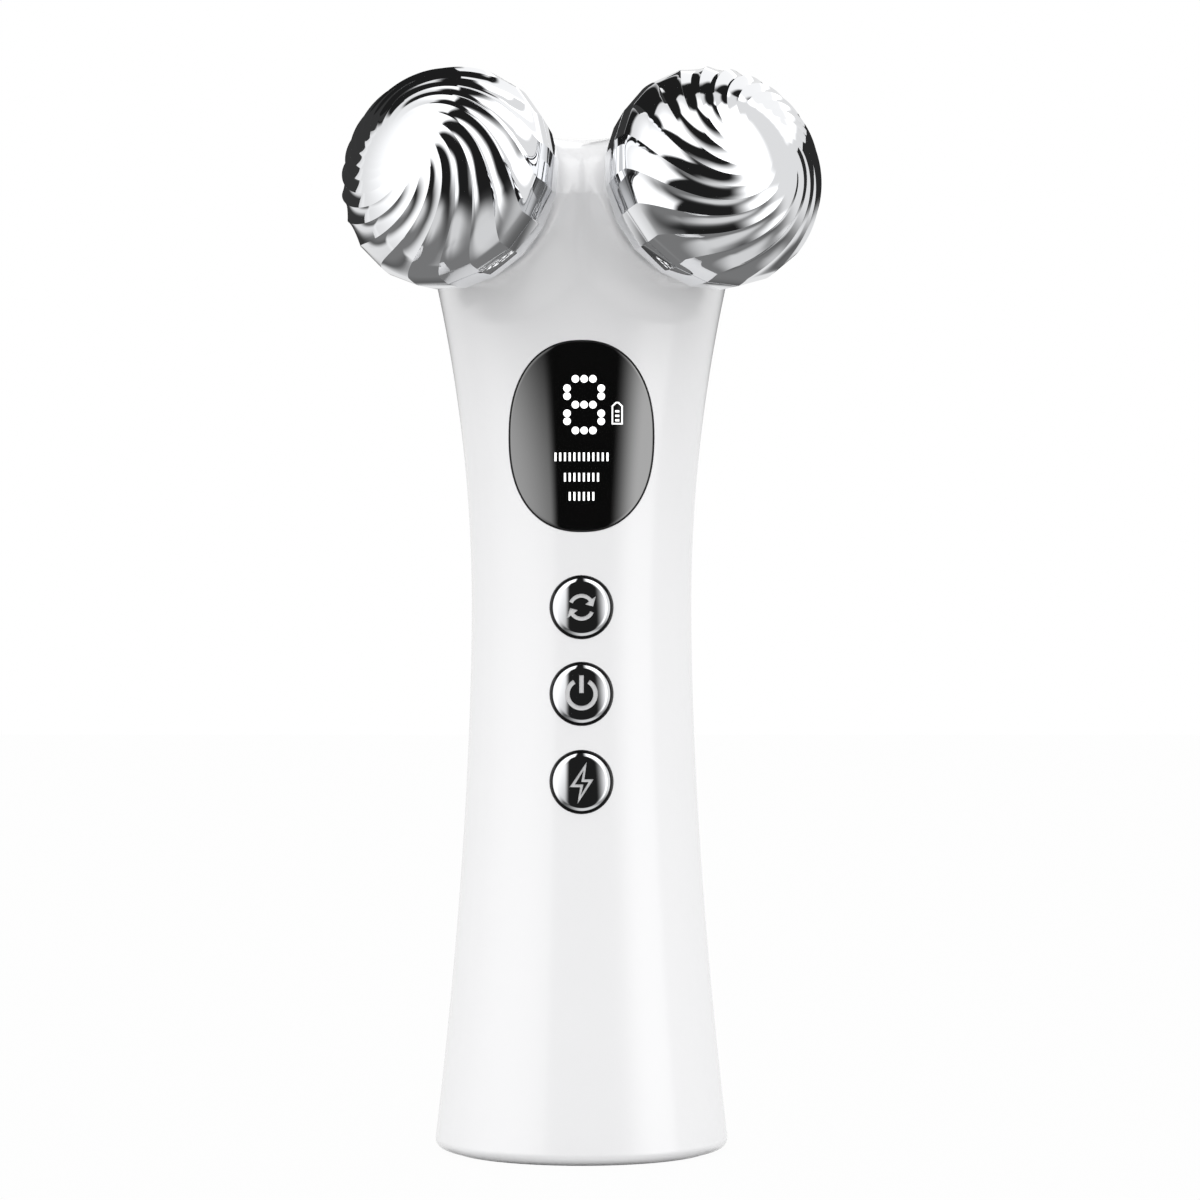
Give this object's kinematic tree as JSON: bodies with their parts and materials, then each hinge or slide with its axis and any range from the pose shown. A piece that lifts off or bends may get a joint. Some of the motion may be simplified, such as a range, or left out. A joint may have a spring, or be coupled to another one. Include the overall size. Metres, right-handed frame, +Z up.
{
  "type": "facial toning device",
  "caption": "Upright white handheld facial roller with a display, a row of round buttons and a forked head that carries ridged metal rollers.",
  "frame": {"origin": "centre of the flat resting face of the base cap", "axes": "+Z up along the handle to the head, +X to the right seen from the display side, -Y out of the display and the buttons"},
  "size_m": [0.0718, 0.0589, 0.1656],
  "materials": {
    "white_shell": "gloss",
    "white_cap": "satin",
    "seal_rubber": "matte",
    "screw_steel": "satin",
    "black_lens": "gloss",
    "black_tape": "matte",
    "mask_plastic": "matte",
    "board_green": "satin",
    "led_white": "gloss",
    "black_bezel": "gloss",
    "chip_black": "matte",
    "switch_metal": "satin",
    "flex_amber": "satin",
    "battery_wrap": "satin",
    "holder_plastic": "satin",
    "wire_sleeve": "satin",
    "motor_steel": "satin",
    "weight_metal": "satin",
    "axle_steel": "polished",
    "clip_steel": "satin",
    "terminal_brass": "satin",
    "nut_steel": "satin",
    "washer_plastic": "satin",
    "port_steel": "satin",
    "roller_chrome": "polished",
    "hub_plastic": "satin",
    "bush_brass": "satin",
    "button_chrome": "polished",
    "plunger_rubber": "matte"
  },
  "bodies": {
    "handle": {"axle_carrier": "holder_plastic", "axle_clips": "clip_steel", "axle_left": "axle_steel", "axle_nuts": "nut_steel", "axle_right": "axle_steel", "base_cap": "white_cap", "base_gasket": "seal_rubber", "base_screws": "screw_steel", "battery_cell": "battery_wrap", "battery_holder": "holder_plastic", "battery_leads": "wire_sleeve", "board_chips": "chip_black", "board_screws": "screw_steel", "button_bezels": "black_bezel", "carrier_screws": "screw_steel", "charge_board": "board_green", "charge_leads": "wire_sleeve", "display_board": "board_green", "display_flex": "flex_amber", "display_lens": "black_lens", "display_lights": "led_white", "electrode_leads": "wire_sleeve", "front_shell": "white_shell", "lens_tape": "black_tape", "light_mask": "mask_plastic", "main_board": "board_green", "motor_can": "motor_steel", "motor_leads": "wire_sleeve", "motor_sleeve": "seal_rubber", "motor_strap": "holder_plastic", "rear_shell": "white_shell", "ring_terminals": "terminal_brass", "stem_seals": "seal_rubber", "strap_screws": "screw_steel", "tact_switches": "switch_metal", "thrust_washers": "washer_plastic", "usb_socket": "port_steel"},
    "left_roller": {"roller_bushes_left": "bush_brass", "roller_front_shell_left": "roller_chrome", "roller_hub_left": "hub_plastic", "roller_rear_shell_left": "roller_chrome", "roller_screws_left": "screw_steel"},
    "right_roller": {"roller_bushes_right": "bush_brass", "roller_front_shell_right": "roller_chrome", "roller_hub_right": "hub_plastic", "roller_rear_shell_right": "roller_chrome", "roller_screws_right": "screw_steel"},
    "mode_button": {"mode_button_cap": "button_chrome", "mode_button_plunger": "plunger_rubber"},
    "power_button": {"power_button_cap": "button_chrome", "power_button_plunger": "plunger_rubber"},
    "level_button": {"level_button_cap": "button_chrome", "level_button_plunger": "plunger_rubber"},
    "motor_rotor": {"motor_shaft": "motor_steel", "eccentric_weight": "weight_metal"}
  },
  "joints": [
    {"name": "left_roller_turn", "type": "hinge", "parent": "handle", "child": "left_roller", "pos_m": [-0.0196, -0.025, 0.1489], "axis": [-0.5002, -0.8195, 0.2798], "continuous": true},
    {"name": "right_roller_turn", "type": "hinge", "parent": "handle", "child": "right_roller", "pos_m": [0.0196, -0.025, 0.1489], "axis": [0.5002, -0.8195, 0.2798], "continuous": true},
    {"name": "mode_button_press", "type": "slide", "parent": "handle", "child": "mode_button", "axis": [0, 1, 0], "range_m": [0, 0.00035], "stiffness_N_per_m": 1500, "springref_m": -0.0002},
    {"name": "power_button_press", "type": "slide", "parent": "handle", "child": "power_button", "axis": [0, 1, 0], "range_m": [0, 0.00035], "stiffness_N_per_m": 1500, "springref_m": -0.0002},
    {"name": "level_button_press", "type": "slide", "parent": "handle", "child": "level_button", "axis": [0, 1, 0], "range_m": [0, 0.00035], "stiffness_N_per_m": 1500, "springref_m": -0.0002},
    {"name": "motor_spin", "type": "hinge", "parent": "handle", "child": "motor_rotor", "pos_m": [0, 0.0032, 0.108], "axis": [0, 0, 1], "continuous": true}
  ]
}
